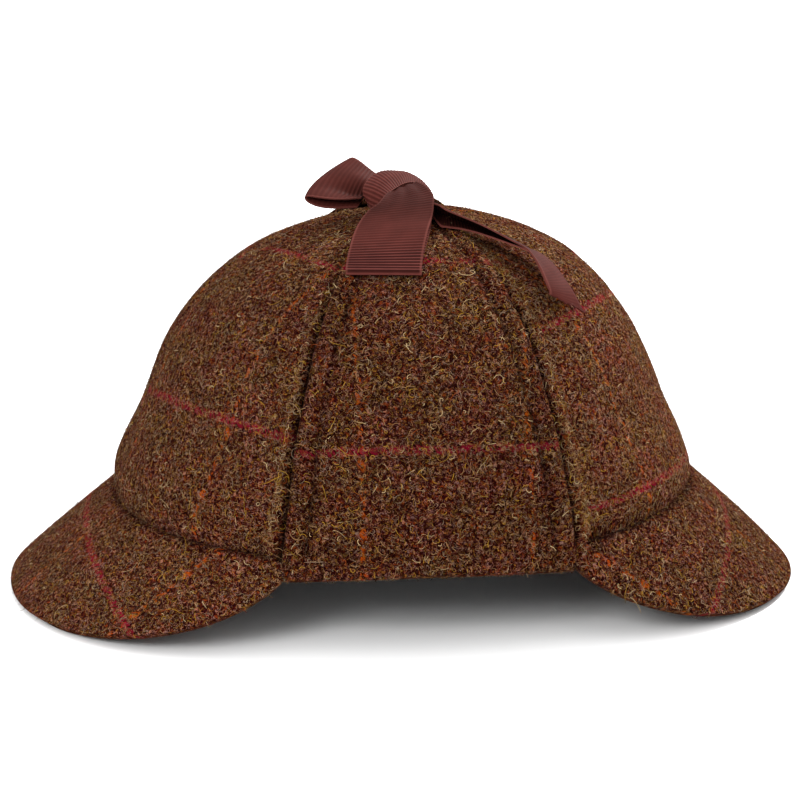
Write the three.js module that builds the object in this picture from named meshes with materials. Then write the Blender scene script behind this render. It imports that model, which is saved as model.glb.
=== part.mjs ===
// A tweed deerstalker hat with its ear flaps turned up and tied on top with a ribbon bow.
// Six crown panels meet at the top, a stiff peak is sewn under the rim at the front and at the back,
// and each ear flap folds up from the rim over its side of the crown.
// Millimetres, +Z up. X runs from the front peak (-X) to the back peak (+X), and the wearer's left is -Y.
// The hat stands on the lower edges of its peaks, at z = 0.
import * as THREE from "three";

// Driving sizes
const CLOTH = { tweed: 2.2, lining: 1.0, flap: 3.0, peak: 3.2, ribbon: 1.0 };
const GAP = 0.3;
const RIM = { side: 30, front: 33.8, back: 37.4, power: 1.35 };
const SEAM = { dip: 0.9, reach: 4.5 };
const OVAL_POWER = 2.2;

// The outside of the crown, level by level from below the rim to the top.
const CROWN_SECTIONS = [
  { height: 20, halfLength: 103.6, halfWidth: 87.6, centreX: 0 },
  { height: 42, halfLength: 103.2, halfWidth: 87.0, centreX: 0.2 },
  { height: 66, halfLength: 92.8, halfWidth: 80.2, centreX: 0.5 },
  { height: 89, halfLength: 82.8, halfWidth: 71.4, centreX: 0.7 },
  { height: 108, halfLength: 68.8, halfWidth: 59.0, centreX: 1.4 },
  { height: 121, halfLength: 50.4, halfWidth: 43.0, centreX: 2.4 },
  { height: 129.5, halfLength: 25.6, halfWidth: 21.8, centreX: 2.4 },
  { height: 132.5, halfLength: 0, halfWidth: 0, centreX: 1.6 },
];
const CROWN_TOP_HOLE = 2.5;

const PANEL_NAMES = [
  "crown_panel_back_right",
  "crown_panel_right",
  "crown_panel_front_right",
  "crown_panel_front_left",
  "crown_panel_left",
  "crown_panel_back_left",
];
const PANEL_ANGLE = (2 * Math.PI) / PANEL_NAMES.length;

// Each peak: its length down the middle, how steeply it falls, and where its ends meet the rim.
const PEAKS = [
  { name: "front_peak", turn: Math.PI, length: 49, fall: 40.2, fallAtEnds: 58 },
  { name: "back_peak", turn: 0, length: 52, fall: 43, fallAtEnds: 58 },
];
const PEAK = { endX: 49.5, endLength: 8, taper: 2.5, roundness: 0.89, camber: 0.8 };

// Half the width of an ear flap at shares of its length, from the fold at the rim to its tip.
const FLAP_WIDTHS = [
  { along: 0, halfWidth: 47.5 },
  { along: 0.3, halfWidth: 43.0 },
  { along: 0.55, halfWidth: 35.2 },
  { along: 0.78, halfWidth: 24.8 },
  { along: 0.93, halfWidth: 15.5 },
  { along: 1, halfWidth: 9.0 },
];
const FLAP = { fold: 4.3, cornerDrop: 2.4, tipFromTop: 16, clear: 0.7 };

// The tie, fold by fold: the middle of the ribbon, and the direction and width across it.
// The turn is counted from +X and the rise from level, in degrees.
const KNOT = [
  { x: -12.2, y: -14, z: 135.1, turn: -52, rise: 0, width: 8 },
  { x: -11.7, y: -12, z: 139.2, turn: -52, rise: -5, width: 11 },
  { x: -7.8, y: -8, z: 141.6, turn: -50, rise: -16, width: 13 },
  { x: -1.6, y: -3, z: 142.1, turn: -55, rise: -8, width: 13 },
  { x: 5.2, y: 4, z: 139.9, turn: -55, rise: 0, width: 11 },
  { x: 8.5, y: 8, z: 138.2, turn: -55, rise: 0, width: 9 },
];
const LOOP_FRONT = [
  { x: -14.9, y: -3.0, z: 141.6, turn: 70, rise: 18, width: 19 },
  { x: -21, y: -2.4, z: 143.2, turn: 55, rise: 21, width: 24 },
  { x: -26, y: -1.6, z: 143.9, turn: 42, rise: 24, width: 25.5 },
  { x: -28.2, y: -1.4, z: 142.3, turn: 41, rise: 24, width: 25.5 },
  { x: -26, y: -1.9, z: 140.6, turn: 42, rise: 24, width: 25.5 },
  { x: -21, y: -3.0, z: 139.2, turn: 55, rise: 21, width: 24 },
  { x: -14.9, y: -3.4, z: 138.2, turn: 70, rise: 18, width: 19 },
];
const LOOP_LEFT = [
  { x: 4.6, y: -16.2, z: 139.4, turn: -12, rise: 0, width: 17 },
  { x: -3.9, y: -29.8, z: 136.9, turn: -9, rise: 0, width: 24 },
  { x: -9, y: -41.9, z: 130.3, turn: -8, rise: 0, width: 25 },
  { x: -11.6, y: -51.5, z: 124.2, turn: -7, rise: 0, width: 25 },
  { x: -12.2, y: -56.2, z: 120.9, turn: -7, rise: 0, width: 25 },
  { x: -12.2, y: -56.2, z: 119.3, turn: -7, rise: 0, width: 25 },
  { x: -12, y: -54.6, z: 119.3, turn: -7, rise: 0, width: 25 },
  { x: -11.4, y: -49.9, z: 121.7, turn: -7, rise: 0, width: 25 },
  { x: -8.9, y: -41.2, z: 126.8, turn: -8, rise: 0, width: 25 },
  { x: -3.7, y: -27.9, z: 134.4, turn: -9, rise: 0, width: 23 },
  { x: 4.2, y: -16.4, z: 136.9, turn: -12, rise: 0, width: 17 },
];
const TAIL_BACK = [
  { x: 13.8, y: -10.5, z: 134.6, turn: 80, rise: 10, width: 12.5 },
  { x: 17.8, y: -20.5, z: 132.2, turn: 78, rise: 8, width: 12.5 },
  { x: 24.2, y: -25.8, z: 130.2, turn: 72, rise: 2, width: 12.5 },
  { x: 30.5, y: -30, z: 127.8, turn: 62, rise: -8, width: 12.5 },
  { x: 36.7, y: -34.6, z: 124.4, turn: 46, rise: -13, width: 12.5 },
  { x: 41.6, y: -38.2, z: 121.2, turn: 32, rise: -16, width: 12.5 },
  { x: 45.9, y: -42.2, z: 116.2, turn: 22, rise: -20, width: 12.5 },
  { x: 49.4, y: -48.4, z: 108.9, turn: 14, rise: -26, width: 12.5 },
];
const ROOT_RIGHT = [
  { x: 1.6, y: 27.6, z: 132.6, turn: 180, rise: 0, width: 20 },
  { x: 1.6, y: 20, z: 134.9, turn: 180, rise: 0, width: 18 },
  { x: 1.6, y: 13, z: 136.3, turn: 180, rise: 0, width: 15 },
];
const KNOT_THICKNESS = 3.6;

const TWEED = new THREE.MeshStandardMaterial({ color: 0x4a2f1e, roughness: 0.95, metalness: 0 });
const LINING = new THREE.MeshStandardMaterial({ color: 0x16130f, roughness: 0.45, metalness: 0 });
const RIBBON = new THREE.MeshStandardMaterial({ color: 0x4d1f22, roughness: 0.6, metalness: 0 });

const { abs, cos, hypot, max, min, PI, pow, sign, sin } = Math;
const radians = THREE.MathUtils.degToRad;
const mix = THREE.MathUtils.lerp;

// Smooth interpolation of one column of a table, with t running from 0 to 1 over its rows.
function smoothColumn(rows, column, t) {
  const place = min(max(t, 0), 1) * (rows.length - 1);
  const i = min(Math.floor(place), rows.length - 2);
  const at = (k) => rows[min(max(k, 0), rows.length - 1)][column];
  const u = place - i;
  const m0 = (at(i + 1) - at(i - 1)) / 2;
  const m1 = (at(i + 2) - at(i)) / 2;
  return (
    (2 * u ** 3 - 3 * u ** 2 + 1) * at(i) +
    (u ** 3 - 2 * u ** 2 + u) * m0 +
    (3 * u ** 2 - 2 * u ** 3) * at(i + 1) +
    (u ** 3 - u ** 2) * m1
  );
}

// Straight interpolation of one column against another that rises row by row.
function readTable(rows, keyColumn, column, key) {
  const i = rows.findIndex((row, k) => k > 0 && key <= row[keyColumn]);
  const above = rows[i < 0 ? rows.length - 1 : i];
  const below = rows[i < 0 ? rows.length - 2 : i - 1];
  const share = (key - below[keyColumn]) / (above[keyColumn] - below[keyColumn]);
  return mix(below[column], above[column], share);
}

// The value between low and high where a rising function reaches the target.
function solveRising(f, target, low, high) {
  for (let step = 0; step < 40; step++) {
    const middle = (low + high) / 2;
    if (f(middle) < target) low = middle;
    else high = middle;
  }
  return (low + high) / 2;
}

const crownHeight = (t) => smoothColumn(CROWN_SECTIONS, "height", t);
const rimHeight = (angle) => mix(RIM.side, cos(angle) < 0 ? RIM.front : RIM.back, pow(abs(cos(angle)), RIM.power));
const rimLevel = (angle) => solveRising(crownHeight, rimHeight(angle), 0, 1);

// A point of the crown's outside at a compass angle and a level t of the section table.
function crownSurface(angle, t) {
  const a = smoothColumn(CROWN_SECTIONS, "halfLength", t);
  const b = smoothColumn(CROWN_SECTIONS, "halfWidth", t);
  const c = cos(angle);
  const s = sin(angle);
  const k = pow(pow(abs(c), OVAL_POWER) + pow(abs(s), OVAL_POWER), -1 / OVAL_POWER);
  const x = smoothColumn(CROWN_SECTIONS, "centreX", t) + a * k * c;
  return new THREE.Vector3(x, b * k * s, crownHeight(t));
}

function crownNormal(angle, t) {
  const step = 1e-3;
  const low = min(t, 1 - 2 * step);
  const around = crownSurface(angle + step, low).sub(crownSurface(angle - step, low));
  const upward = crownSurface(angle, low + step).sub(crownSurface(angle, low - step));
  return around.cross(upward).normalize();
}

// A point set off from the crown's outside by a distance along its normal.
function crownPoint(angle, t, offset) {
  return crownSurface(angle, t).addScaledVector(crownNormal(angle, t), offset);
}

// A closed wall between two grids of points, outer[i][j] and inner[i][j]. A ring joins its last column to its first.
function wallGeometry(outer, inner, ring = false) {
  const rows = outer.length;
  const columns = outer[0].length;
  const points = [...outer.flat(), ...inner.flat()];
  const skin = rows * columns;
  const triangles = [];
  const quad = (a, b, c, d) => triangles.push(a, b, c, a, c, d);
  const spans = ring ? columns : columns - 1;
  const top = (rows - 1) * columns;
  for (let j = 0; j < spans; j++) {
    const k = (j + 1) % columns;
    for (let i = 0; i < rows - 1; i++) {
      const low = i * columns;
      const high = low + columns;
      quad(low + j, low + k, high + k, high + j);
      quad(skin + high + j, skin + high + k, skin + low + k, skin + low + j);
    }
    quad(skin + j, skin + k, k, j);
    quad(top + j, top + k, skin + top + k, skin + top + j);
  }
  for (let i = 0; i < rows - 1 && !ring; i++) {
    const low = i * columns;
    const high = low + columns;
    quad(skin + low, low, high, skin + high);
    quad(low + columns - 1, skin + low + columns - 1, skin + high + columns - 1, high + columns - 1);
  }
  const volume = triangles.reduce((sum, _, i) => {
    if (i % 3) return sum;
    const [p, q, r] = [0, 1, 2].map((k) => points[triangles[i + k]]);
    return sum + p.dot(new THREE.Vector3().crossVectors(q, r)) / 6;
  }, 0);
  if (volume < 0) triangles.reverse();
  const geometry = new THREE.BufferGeometry().setFromPoints(points);
  geometry.setIndex(triangles);
  geometry.computeVertexNormals();
  return geometry;
}

const spread = (count, low, high) => Array.from({ length: count + 1 }, (_, i) => mix(low, high, i / count));
const hat = new THREE.Group();

function addPiece(name, geometry, material) {
  const piece = new THREE.Mesh(geometry, material);
  piece.name = name;
  hat.add(piece);
}

// Crown panels
// A panel is a gore between two seams. Its edges dip a little where they are sewn to the next panel.
function crownPanel(index) {
  const rows = spread(13, 0, 1);
  const shares = [0, 0.07, 0.2, 0.35, 0.5, 0.65, 0.8, 0.93, 1];
  const skinAt = (depth) =>
    rows.map((row) =>
      shares.map((share) => {
        const middle = (index + 0.5) * PANEL_ANGLE;
        const rough = mix(middle - PANEL_ANGLE / 2, middle + PANEL_ANGLE / 2, share);
        const low = rimLevel(rough);
        const high = solveRising((t) => -crownSurface(rough, t).setZ(0).length(), -CROWN_TOP_HOLE, 0.5, 1);
        const t = mix(low, high, pow(row, 0.85));
        const radius = crownSurface(rough, t).setZ(0).length();
        const half = PANEL_ANGLE / 2 - GAP / 2 / radius;
        const angle = middle + half * (2 * share - 1);
        const fromSeam = radius * PANEL_ANGLE * min(share, 1 - share);
        const dip = SEAM.dip * Math.exp(-((fromSeam / SEAM.reach) ** 2));
        return crownPoint(angle, t, -dip - depth);
      }),
    );
  return wallGeometry(skinAt(0), skinAt(CLOTH.tweed));
}
PANEL_NAMES.forEach((name, index) => addPiece(name, crownPanel(index), TWEED));

// Lining
// A thin inner dome, set in behind the panels and ending just above the rim.
function lining() {
  const hem = 3;
  const outside = CLOTH.tweed + SEAM.dip + 3 * GAP;
  const angles = spread(35, 0, (35 / 36) * 2 * PI);
  const rows = spread(9, 0, 1);
  const skinAt = (depth) =>
    rows.map((row) =>
      angles.map((angle) => {
        const low = solveRising(crownHeight, rimHeight(angle) + hem, 0, 1);
        return crownPoint(angle, mix(low, 0.985, pow(row, 0.85)), -depth);
      }),
    );
  return wallGeometry(skinAt(outside), skinAt(outside + CLOTH.lining), true);
}
addPiece("lining", lining(), LINING);

// Peaks
// A stiff crescent that starts under the rim and falls outwards. Its lower edge is flat where it stands.
function peak({ turn, length: middleLength, fall: middleFall, fallAtEnds }) {
  const rimX = (angle) => cos(turn) * crownSurface(turn + angle, rimLevel(turn + angle)).x;
  const endAngle = solveRising((angle) => -rimX(angle), -PEAK.endX, 0, PI / 2);
  const across = spread(28, -1, 1).map((u) => sign(u) * pow(abs(u), 0.9));
  const down = [0, 0.1, 0.25, 0.45, 0.65, 0.82, 0.93, 0.98, 1];
  const upper = [[]];
  const lower = [[]];
  for (const u of across) {
    const angle = turn + u * endAngle;
    const level = rimLevel(angle);
    const normal = crownNormal(angle, level);
    const outward = normal.clone().setZ(0).normalize();
    const root = crownPoint(angle, level, 0);
    root.z -= GAP + (CLOTH.tweed + SEAM.dip) * normal.z;
    const length = mix(PEAK.endLength, middleLength, pow(1 - pow(abs(u), PEAK.taper), PEAK.roundness));
    const fall = radians(mix(middleFall, fallAtEnds, u * u));
    const beneath = outward.clone().multiplyScalar(-sin(fall)).setZ(-cos(fall)).multiplyScalar(CLOTH.peak);
    const tucked = root.clone().addScaledVector(outward, -CLOTH.tweed);
    upper[0].push(tucked);
    lower[0].push(tucked.clone().setZ(tucked.z - CLOTH.peak));
    down.forEach((share, row) => {
      const camber = PEAK.camber * sin(PI * share) * (length / middleLength);
      const run = length * share * cos(fall) + camber * sin(fall);
      const drop = length * share * sin(fall) - camber * cos(fall) * share;
      const point = root.clone().addScaledVector(outward, run).setZ(root.z - max(drop, 0));
      (upper[row + 1] ??= []).push(point);
      (lower[row + 1] ??= []).push(point.clone().add(beneath));
    });
  }
  const place = (p) => p.setZ(max(p.z, 0));
  return wallGeometry(
    upper.map((row) => row.map(place)),
    lower.map((row) => row.map(place)),
  );
}
PEAKS.forEach((sizes) => addPiece(sizes.name, peak(sizes), TWEED));

// Ear flaps
// A double tongue of tweed. It hooks under the rim, folds up over the side of the crown and narrows to its tip.
function flapPath(side) {
  const middle = (side * PI) / 2;
  const levels = spread(240, rimLevel(middle), 1);
  let along = 0;
  return levels.map((t, i) => {
    if (i) along += crownSurface(middle, t).distanceTo(crownSurface(middle, levels[i - 1]));
    return { along, t };
  });
}

// The crown's angle and level met by going straight in from the flap's middle line, x to the side of it.
function flapFoot(side, t, x) {
  const middle = crownSurface((side * PI) / 2, t);
  const inward = crownNormal((side * PI) / 2, t).negate();
  const outside = (depth) => {
    const p = middle.clone().addScaledVector(inward, depth);
    const level = solveRising(crownHeight, p.z, 0, 1);
    const a = smoothColumn(CROWN_SECTIONS, "halfLength", level);
    const b = smoothColumn(CROWN_SECTIONS, "halfWidth", level);
    const aside = x - smoothColumn(CROWN_SECTIONS, "centreX", level);
    const reach = pow(abs(aside) / a, OVAL_POWER) + pow(abs(p.y) / b, OVAL_POWER) - 1;
    return { reach: p.z > crownHeight(1) ? 1 : reach, angle: Math.atan2(p.y / b, aside / a), level };
  };
  return outside(solveRising((depth) => -outside(depth).reach, 0, 0, 40));
}

function earFlap(side) {
  const path = flapPath(side);
  const length = path.at(-1).along - FLAP.tipFromTop;
  const across = spread(12, -1, 1);
  const outer = [[], []];
  const inner = [[], []];
  for (const u of across) {
    const x = u * FLAP_WIDTHS[0].halfWidth;
    const angle = side * solveRising((turn) => -crownSurface(turn, rimLevel(turn)).x, -x, 0, PI);
    const level = rimLevel(angle);
    const normal = crownNormal(angle, level);
    const outward = normal.clone().setZ(0).normalize();
    const rim = crownPoint(angle, level, 0);
    const under = rim.z - GAP - CLOTH.tweed * normal.z;
    const fold = RIM.side - FLAP.fold - FLAP.cornerDrop * u * u;
    const at = (offset, z) => rim.clone().addScaledVector(outward, offset).setZ(z);
    outer[0].push(at(-CLOTH.tweed, fold + 0.8));
    inner[0].push(at(-CLOTH.tweed, under));
    outer[1].push(at(1.5, fold));
    inner[1].push(at(FLAP.clear, under));
  }
  for (const share of [0.03, 0.08, 0.16, 0.25, 0.35, 0.45, 0.55, 0.65, 0.74, 0.82, 0.89, 0.95, 1]) {
    const t = readTable(path, "along", "t", share * length);
    const halfWidth = readTable(FLAP_WIDTHS, "along", "halfWidth", share);
    const feet = across.map((u) => flapFoot(side, t, u * halfWidth));
    outer.push(feet.map((foot) => crownPoint(foot.angle, foot.level, FLAP.clear + CLOTH.flap)));
    inner.push(feet.map((foot) => crownPoint(foot.angle, foot.level, FLAP.clear)));
  }
  return wallGeometry(outer, inner);
}
addPiece("ear_flap_left", earFlap(-1), TWEED);
addPiece("ear_flap_right", earFlap(1), TWEED);

// Tie
// A ribbon follows the folds of its table as one thin strip.
function ribbon(folds, thickness) {
  const count = 4 * (folds.length - 1);
  const columns = ["x", "y", "z", "turn", "rise", "width"];
  const at = (t) => Object.fromEntries(columns.map((column) => [column, smoothColumn(folds, column, t)]));
  const middle = (t) => new THREE.Vector3(at(t).x, at(t).y, at(t).z);
  const faces = [[], []];
  for (const t of spread(count, 0, 1)) {
    const { turn, rise, width } = at(t);
    const flat = cos(radians(rise));
    const across = new THREE.Vector3(cos(radians(turn)) * flat, sin(radians(turn)) * flat, sin(radians(rise)));
    const onward = middle(min(t + 1e-3, 1)).sub(middle(max(t - 1e-3, 0)));
    const normal = across.clone().cross(onward).normalize();
    faces.forEach((face, side) => {
      const lifted = middle(t).addScaledVector(normal, thickness * (side - 0.5));
      face.push(spread(3, -0.5, 0.5).map((u) => lifted.clone().addScaledVector(across, u * width)));
    });
  }
  return wallGeometry(faces[0], faces[1]);
}
addPiece("tie_knot", ribbon(KNOT, KNOT_THICKNESS), RIBBON);
addPiece("tie_loop_front", ribbon(LOOP_FRONT, CLOTH.ribbon), RIBBON);
addPiece("tie_loop_left", ribbon(LOOP_LEFT, CLOTH.ribbon), RIBBON);
addPiece("tie_tail_back", ribbon(TAIL_BACK, 2 * CLOTH.ribbon), RIBBON);
addPiece("tie_root_right", ribbon(ROOT_RIGHT, CLOTH.ribbon), RIBBON);

export default hat;
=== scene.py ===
import math
import bpy
import numpy as np
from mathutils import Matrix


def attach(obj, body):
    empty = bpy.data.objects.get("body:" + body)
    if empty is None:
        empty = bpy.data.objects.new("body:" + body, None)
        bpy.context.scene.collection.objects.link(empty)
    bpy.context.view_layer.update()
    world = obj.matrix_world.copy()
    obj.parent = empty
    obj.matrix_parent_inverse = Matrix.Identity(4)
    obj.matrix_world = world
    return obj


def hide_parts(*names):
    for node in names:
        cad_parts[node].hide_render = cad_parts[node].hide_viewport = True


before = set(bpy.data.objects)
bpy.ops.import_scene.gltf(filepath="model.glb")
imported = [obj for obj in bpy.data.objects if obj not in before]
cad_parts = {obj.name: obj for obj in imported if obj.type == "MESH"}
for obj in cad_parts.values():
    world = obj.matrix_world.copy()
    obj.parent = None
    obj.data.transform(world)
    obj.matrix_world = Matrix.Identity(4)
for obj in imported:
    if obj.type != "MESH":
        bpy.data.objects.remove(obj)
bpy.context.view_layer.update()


# Camera and studio.
# A long lens looks slightly down on the hat's left side, from a little towards its front.
# A pale floor, two soft lamps and a white sky that is lighter upwards stand in for a product table.
camera_data = bpy.data.cameras.new("camera")
camera_data.lens = 99.1
camera_data.sensor_width = 36.0
camera_data.clip_start = 0.05
camera = bpy.data.objects.new("camera", camera_data)
bpy.context.scene.collection.objects.link(camera)
bpy.context.scene.camera = camera
camera_turn = math.radians(-6.51)
camera_rise = math.radians(13.95)
camera_distance = 0.7895
camera_aim = np.array([0.0, 0.0, 0.075])
camera_back = np.array([
    math.sin(camera_turn) * math.cos(camera_rise),
    -math.cos(camera_turn) * math.cos(camera_rise),
    math.sin(camera_rise),
])
camera.location = camera_aim + camera_distance * camera_back
focal_pixels = 2202.9
picture_middle = 400
aim_across, aim_down = 401.6, 366.2
tilt_down = math.atan((picture_middle - aim_down) / focal_pixels)
swing = math.atan((aim_across - picture_middle) / focal_pixels)
camera.rotation_euler = (math.pi / 2 - camera_rise - tilt_down, 0, camera_turn + swing)


def set_inputs(node, **values):
    """Sets a node's own sockets; an underscore in a name stands for a space."""
    for name, value in values.items():
        node.inputs[name.replace("_", " ")].default_value = value


def add_node(tree, kind, **settings):
    node = tree.nodes.new(kind)
    for key, value in settings.items():
        setattr(node, key, value)
    return node


def link_nodes(tree, *pairs):
    for out_socket, in_socket in pairs:
        tree.links.new(out_socket, in_socket)


def new_material(name, roughness, specular):
    material = bpy.data.materials.new(name)
    material.use_nodes = True
    shader = material.node_tree.nodes["Principled BSDF"]
    set_inputs(shader, Roughness=roughness, Specular_IOR_Level=specular)
    return material, material.node_tree, shader


bpy.ops.object.select_all(action="DESELECT")
bpy.ops.mesh.primitive_plane_add(size=12, location=(0, 0, -0.0004))
floor = bpy.context.active_object
floor.name = "floor"
floor_paint, _, floor_shader = new_material("pale_floor", 0.9, 0.1)
set_inputs(floor_shader, Base_Color=(0.93, 0.93, 0.93, 1))
floor.data.materials.append(floor_paint)

surround = bpy.data.worlds.new("white_surround")
surround.use_nodes = True
sky = surround.node_tree
background = sky.nodes["Background"]
set_inputs(background, Color=(1, 1, 1, 1))
sky_way = add_node(sky, "ShaderNodeTexCoord")
sky_rise = add_node(sky, "ShaderNodeSeparateXYZ")
sky_light = add_node(sky, "ShaderNodeMapRange")
set_inputs(sky_light, From_Min=0.0, From_Max=0.7, To_Min=0.3, To_Max=1.7)
link_nodes(
    sky,
    (sky_way.outputs["Generated"], sky_rise.inputs["Vector"]),
    (sky_rise.outputs["Z"], sky_light.inputs["Value"]),
    (sky_light.outputs["Result"], background.inputs["Strength"]),
)
bpy.context.scene.world = surround
bpy.context.scene.view_settings.view_transform = "Standard"


def soft_lamp(name, place, aim, size, watts):
    lamp_data = bpy.data.lights.new(name, "AREA")
    lamp_data.shape = "SQUARE"
    lamp_data.size = size
    lamp_data.energy = watts
    lamp = bpy.data.objects.new(name, lamp_data)
    bpy.context.scene.collection.objects.link(lamp)
    lamp.location = place
    way = np.array(aim) - np.array(place)
    lamp.rotation_euler = (
        math.atan2(math.hypot(way[0], way[1]), -way[2]),
        0,
        math.atan2(way[0], -way[1]) + math.pi,
    )


soft_lamp("lamp_key", (0.8, 0.5, 1.0), (0, 0, 0.08), 0.25, 28)
soft_lamp("lamp_front", (-1.0, -1.3, 1.05), (0, 0, 0.0), 0.7, 19)


# Crown panels.
# Six gores of thick wool tweed, backed with interlining and sewn edge to edge up to the top of the dome.
# The cloth turns in along every seam and along the rim, and its hairy face stands up in stray wool fibres.
mm = 0.001
CROWN = np.array([
    # height, half length, half width, middle's x, all in millimetres
    (20, 103.6, 87.6, 0),
    (42, 103.2, 87.0, 0.2),
    (66, 92.8, 80.2, 0.5),
    (89, 82.8, 71.4, 0.7),
    (108, 68.8, 59.0, 1.4),
    (121, 50.4, 43.0, 2.4),
    (129.5, 25.6, 21.8, 2.4),
    (132.5, 0, 0, 1.6),
], float)
oval_power = 2.2
tweed_wall = 2.2
seam_groove = 1.5
panel_half = math.pi / 6


def smooth_rows(table, t):
    """The rows of a table, blended smoothly, at shares t of the way through it."""
    last = len(table) - 1
    place = np.clip(t, 0, 1) * last
    i = np.minimum(place.astype(int), last - 1)
    u = (place - i)[..., None]
    low = table[i]
    high = table[i + 1]
    slope_low = (high - table[np.maximum(i - 1, 0)]) / 2
    slope_high = (table[np.minimum(i + 2, last)] - low) / 2
    return (
        (2 * u**3 - 3 * u**2 + 1) * low
        + (u**3 - 2 * u**2 + u) * slope_low
        + (3 * u**2 - 2 * u**3) * high
        + (u**3 - u**2) * slope_high
    )


LEVELS = np.linspace(0, 1, 4001)
LEVEL_HEIGHTS = smooth_rows(CROWN, LEVELS)[:, 0]


def crown_level(height):
    return np.interp(height, LEVEL_HEIGHTS, LEVELS)


rim_side = 30.0
rim_front = 33.8
rim_back = 37.4


def rim_height(angle):
    end = np.where(np.cos(angle) < 0, rim_front, rim_back)
    return rim_side + (end - rim_side) * np.abs(np.cos(angle)) ** 1.35


def crown_surface(angle, t):
    c = np.cos(angle)
    s = np.sin(angle)
    k = (np.abs(c) ** oval_power + np.abs(s) ** oval_power) ** (-1 / oval_power)
    section = smooth_rows(CROWN, t)
    x = section[..., 3] + section[..., 1] * k * c
    y = section[..., 2] * k * s
    return np.stack([x, y, section[..., 0]], -1)


def crown_normal(angle, t):
    step = 1e-3
    t = np.minimum(t, 1 - 2 * step)
    around = crown_surface(angle + step, t) - crown_surface(angle - step, t)
    upward = crown_surface(angle, t + step) - crown_surface(angle, t - step)
    normal = np.cross(around, upward)
    return normal / np.linalg.norm(normal, axis=-1, keepdims=True)


def soft_unevenness(p):
    x, y, z = p[..., 0], p[..., 1], p[..., 2]
    slow = np.sin(0.071 * x + 0.043 * z + 0.7) * np.sin(0.062 * y - 0.051 * z + 1.9)
    quick = np.sin(0.19 * x - 0.11 * z) * np.sin(0.17 * y + 0.13 * z + 0.8)
    return 0.5 * slow + 0.18 * quick


def cloth_grid(name, columns, rows, shape):
    """A grid of cloth. shape takes u from -1 to 1 and v from 0 to 1, and gives points and cloth places,
    in mm, and a painted-shade value for each point: how dark painted shade makes it, or how strongly
    painted shade and highlight show on a ribbon's ribs."""
    bpy.ops.object.select_all(action="DESELECT")
    bpy.ops.mesh.primitive_grid_add(x_subdivisions=columns, y_subdivisions=rows, size=2)
    piece = bpy.context.active_object
    piece.name = name
    piece.data.name = name
    mesh = piece.data
    flat = np.empty(len(mesh.vertices) * 3)
    mesh.vertices.foreach_get("co", flat)
    flat = flat.reshape(-1, 3)
    points, cloth, painted_shade = shape(flat[:, 0], (flat[:, 1] + 1) / 2)
    mesh.vertices.foreach_set("co", (points * mm).ravel())
    corners = np.empty(len(mesh.loops), int)
    mesh.loops.foreach_get("vertex_index", corners)
    while mesh.uv_layers:
        mesh.uv_layers.remove(mesh.uv_layers[0])
    cloth_map = mesh.uv_layers.new(name="cloth")
    cloth_map.data.foreach_set("uv", (cloth[corners] * mm).ravel())
    painted_shades = mesh.attributes.new("painted_shade", "FLOAT", "POINT")
    painted_shades.data.foreach_set("value", np.broadcast_to(painted_shade, len(points)).astype(np.float32))
    mesh.update()
    return piece


def thicken(piece, wall, edge=0.0, segments=2, edge_way=None):
    """Gives the cloth its thickness behind its face, and rounds its cut edges.
    edge_way gives the cloth's way over the edge, so that its weave goes on down the side."""
    bpy.context.view_layer.objects.active = piece
    face_points = len(piece.data.vertices)
    solid = piece.modifiers.new("wall", "SOLIDIFY")
    solid.thickness = wall * mm
    solid.offset = -1
    solid.use_even_offset = False
    bpy.ops.object.modifier_apply(modifier=solid.name)
    if edge_way:
        corners = np.empty(len(piece.data.loops), int)
        piece.data.loops.foreach_get("vertex_index", corners)
        cloth = np.empty(len(corners) * 2)
        cloth_map = piece.data.uv_layers["cloth"]
        cloth_map.data.foreach_get("uv", cloth)
        cloth = cloth.reshape(-1, 2)
        cloth += edge_way(cloth / mm) * wall * mm * (corners >= face_points)[:, None]
        cloth_map.data.foreach_set("uv", cloth.ravel())
    if edge:
        bevel = piece.modifiers.new("edge", "BEVEL")
        bevel.width = edge * mm
        bevel.segments = segments
        bevel.limit_method = "ANGLE"
        bevel.angle_limit = math.radians(50)
        bpy.ops.object.modifier_apply(modifier=bevel.name)
    bpy.ops.object.shade_smooth_by_angle(angle=math.radians(60))


def dress(piece, material, slot, *nodes):
    piece.data.materials.append(material)
    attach(piece, "root")
    if nodes:
        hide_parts(*nodes)


# The weave is one effect for every tweed piece. Short coloured dashes lie both ways across the twill,
# and a windowpane of orange and crimson yarns is woven through it.
weave = bpy.data.node_groups.new("tweed_weave", "ShaderNodeTree")
weave.interface.new_socket("Cloth", in_out="INPUT", socket_type="NodeSocketVector")
weave.interface.new_socket("Painted shade", in_out="INPUT", socket_type="NodeSocketFloat")
weave.interface.new_socket("Colour", in_out="OUTPUT", socket_type="NodeSocketColor")
weave.interface.new_socket("Height", in_out="OUTPUT", socket_type="NodeSocketFloat")
weave_in = weave.nodes.new("NodeGroupInput")
weave_out = weave.nodes.new("NodeGroupOutput")


def math_node(tree, operation, first, second=None, third=None, clamp=False):
    node = add_node(tree, "ShaderNodeMath", operation=operation, use_clamp=clamp)
    for socket, value in zip(node.inputs, (first, second, third)):
        if isinstance(value, (int, float)):
            socket.default_value = value
        elif value is not None:
            tree.links.new(value, socket)
    return node.outputs[0]


def mix_colours(tree, share, first, second, blend="MIX"):
    node = add_node(tree, "ShaderNodeMix", data_type="RGBA", blend_type=blend)
    share_socket, first_socket, second_socket = node.inputs[0], node.inputs[6], node.inputs[7]
    for socket, value in ((share_socket, share), (first_socket, first), (second_socket, second)):
        if isinstance(value, (int, float, tuple)):
            socket.default_value = value
        else:
            tree.links.new(value, socket)
    return node.outputs[2]


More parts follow.
